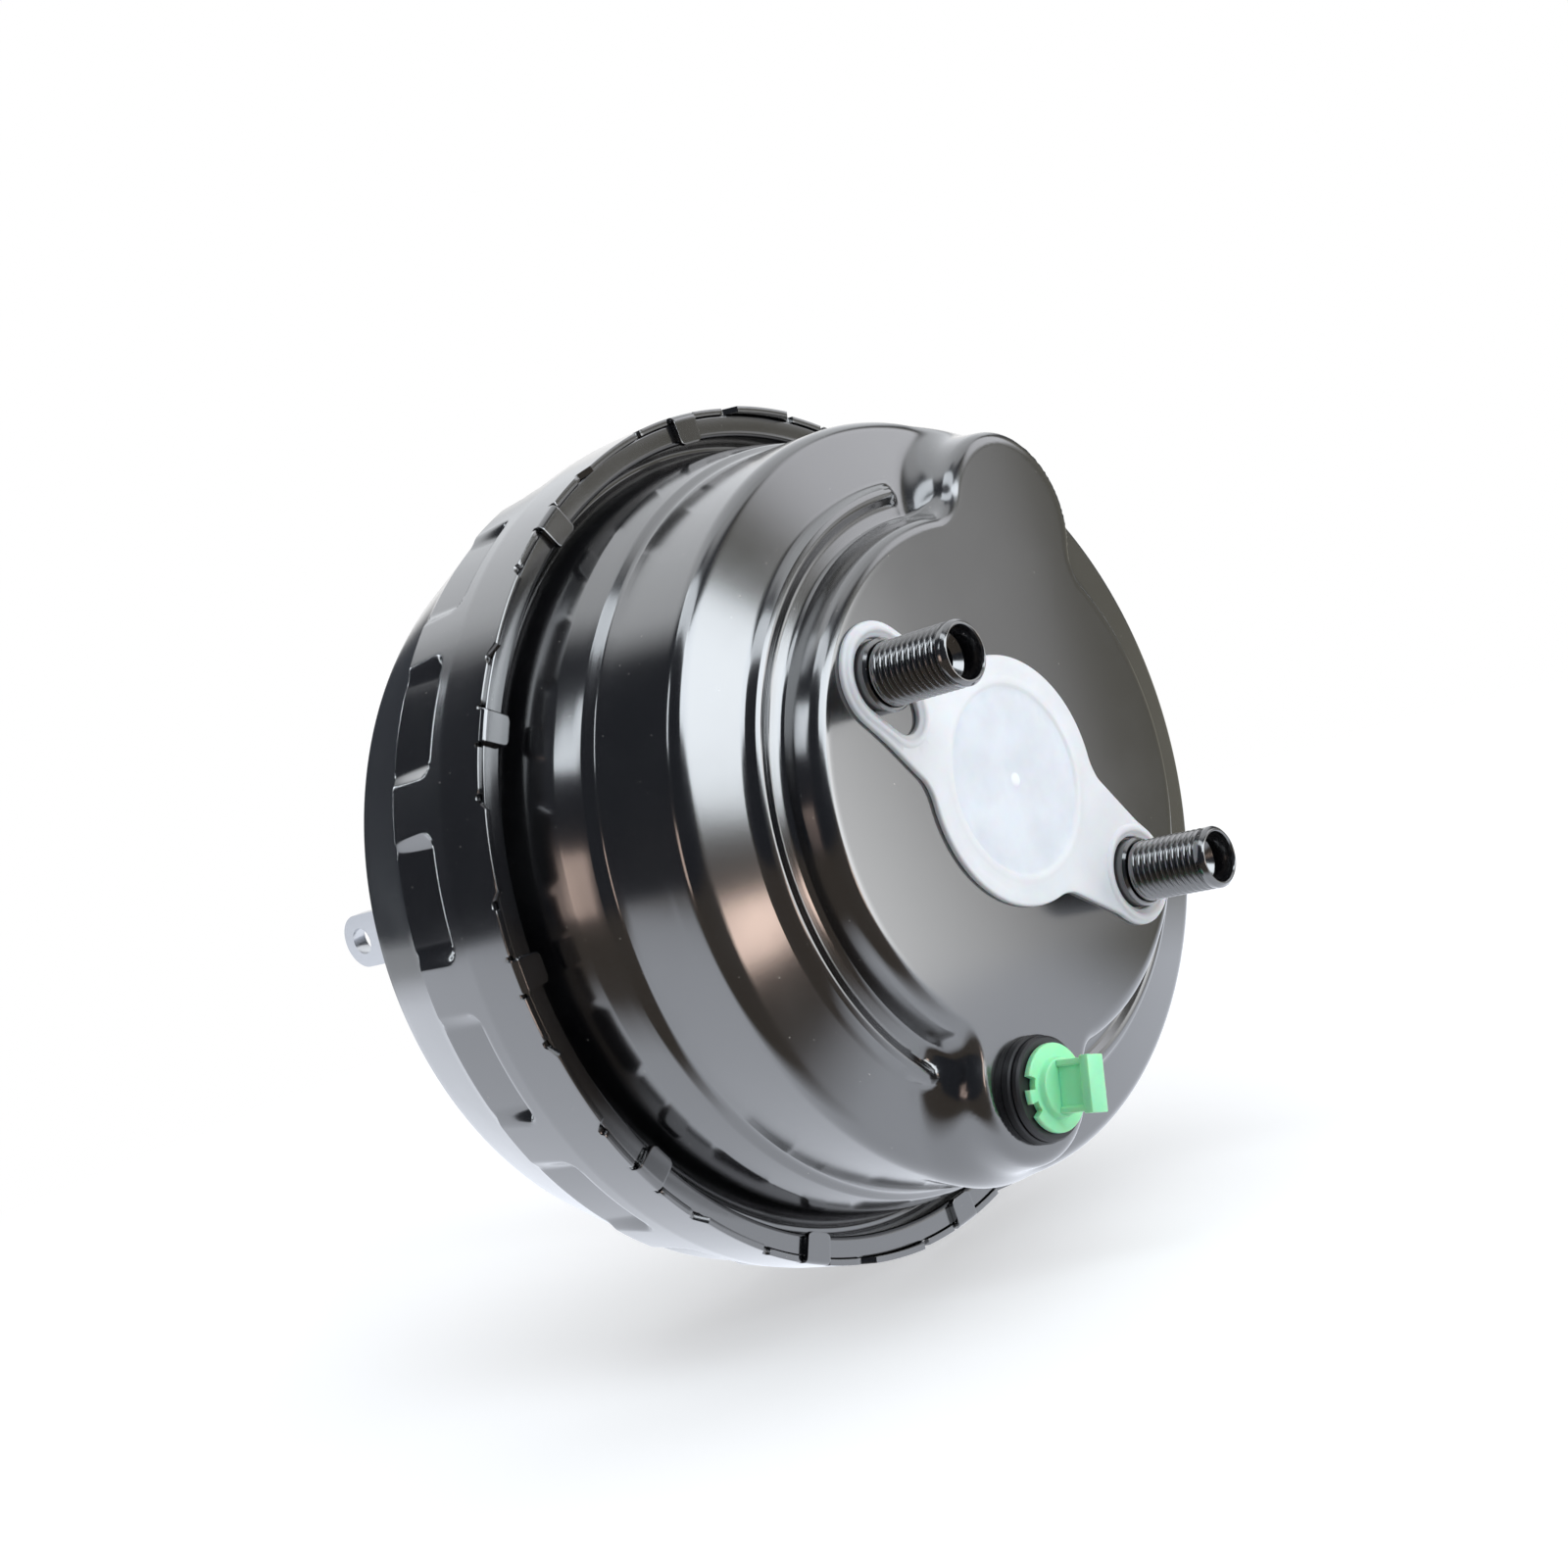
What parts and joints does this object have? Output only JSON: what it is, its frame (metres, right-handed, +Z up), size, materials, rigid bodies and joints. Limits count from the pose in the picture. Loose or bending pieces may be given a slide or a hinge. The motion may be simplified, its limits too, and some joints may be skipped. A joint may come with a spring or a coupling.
{
  "type": "brake booster",
  "caption": "Tandem vacuum brake booster: crimped steel shells round a sliding diaphragm unit, with a control valve, pedal rod, hollow through studs, bore cover and port plug.",
  "frame": {"origin": "centre of the rear mounting face, where the booster meets the bulkhead", "axes": "+X along the booster's axis, from the bulkhead forward to the master cylinder; +Z up; +Y to the left of someone looking along +X"},
  "size_m": [0.3465, 0.2648, 0.2648],
  "materials": {
    "shell_black": "gloss",
    "tube_steel": "satin",
    "plate_steel": "satin",
    "spring_steel": "satin",
    "bright_zinc": "satin",
    "valve_steel": "satin",
    "rubber_black": "matte",
    "housing_resin": "matte",
    "bush_resin": "satin",
    "filter_foam": "matte",
    "cover_plastic": "satin",
    "plug_plastic": "satin"
  },
  "bodies": {
    "housing": {"front_shell": "shell_black", "rear_shell": "shell_black", "neck_sleeve": "shell_black", "centre_plate": "plate_steel", "centre_seal": "rubber_black", "rear_seal": "rubber_black", "rear_guide_ring": "bush_resin", "through_tubes": "tube_steel", "tube_collars": "shell_black", "tube_front_seals": "rubber_black", "tube_centre_seals": "rubber_black", "front_diaphragm": "rubber_black", "rear_diaphragm": "rubber_black", "spring_seat": "plate_steel", "return_spring": "spring_steel", "vacuum_grommet": "rubber_black", "boot": "rubber_black"},
    "power_piston": {"control_housing": "housing_resin", "front_plate": "plate_steel", "rear_plate": "plate_steel", "plate_lock_ring": "plate_steel", "rear_plate_ring": "plate_steel", "front_slide_bushes": "bush_resin", "rear_slide_bushes": "bush_resin", "reaction_disc": "rubber_black", "output_rod": "bright_zinc", "output_rod_retainer": "plate_steel", "stop_key": "bright_zinc", "poppet_valve": "rubber_black", "poppet_spring": "spring_steel", "poppet_retainer": "plate_steel", "air_filter": "filter_foam", "rod_return_spring": "spring_steel"},
    "plunger": {"valve_plunger": "valve_steel"},
    "pedal_rod": {"input_rod": "bright_zinc", "rod_spring_seat": "bright_zinc", "lock_nut": "bright_zinc", "clevis": "bright_zinc"},
    "cover": {"bore_cover": "cover_plastic"},
    "plug": {"vacuum_plug": "plug_plastic"}
  },
  "joints": [
    {"name": "piston_stroke", "type": "slide", "parent": "housing", "child": "power_piston", "axis": [1, 0, 0], "range_m": [0, 0.036], "stiffness_N_per_m": 4000, "springref_m": -0.03, "deforming": ["return_spring", "front_diaphragm", "rear_diaphragm", "boot"]},
    {"name": "plunger_travel", "type": "slide", "parent": "power_piston", "child": "plunger", "axis": [1, 0, 0], "range_m": [0, 0.002], "stiffness_N_per_m": 3000, "springref_m": -0.02, "deforming": ["rod_return_spring", "poppet_valve", "poppet_spring", "boot"]},
    {"name": "rod_swing", "type": "hinge", "parent": "plunger", "child": "pedal_rod", "pos_m": [-0.0115, 0, 0], "axis": [0, 1, 0], "range_deg": [-3, 3], "deforming": ["boot", "rod_return_spring"]},
    {"name": "cover_lift", "type": "slide", "parent": "housing", "child": "cover", "axis": [1, 0, 0], "range_m": [0, 0.05]},
    {"name": "plug_pull", "type": "slide", "parent": "housing", "child": "plug", "axis": [1, 0, 0], "range_m": [0, 0.03]}
  ]
}
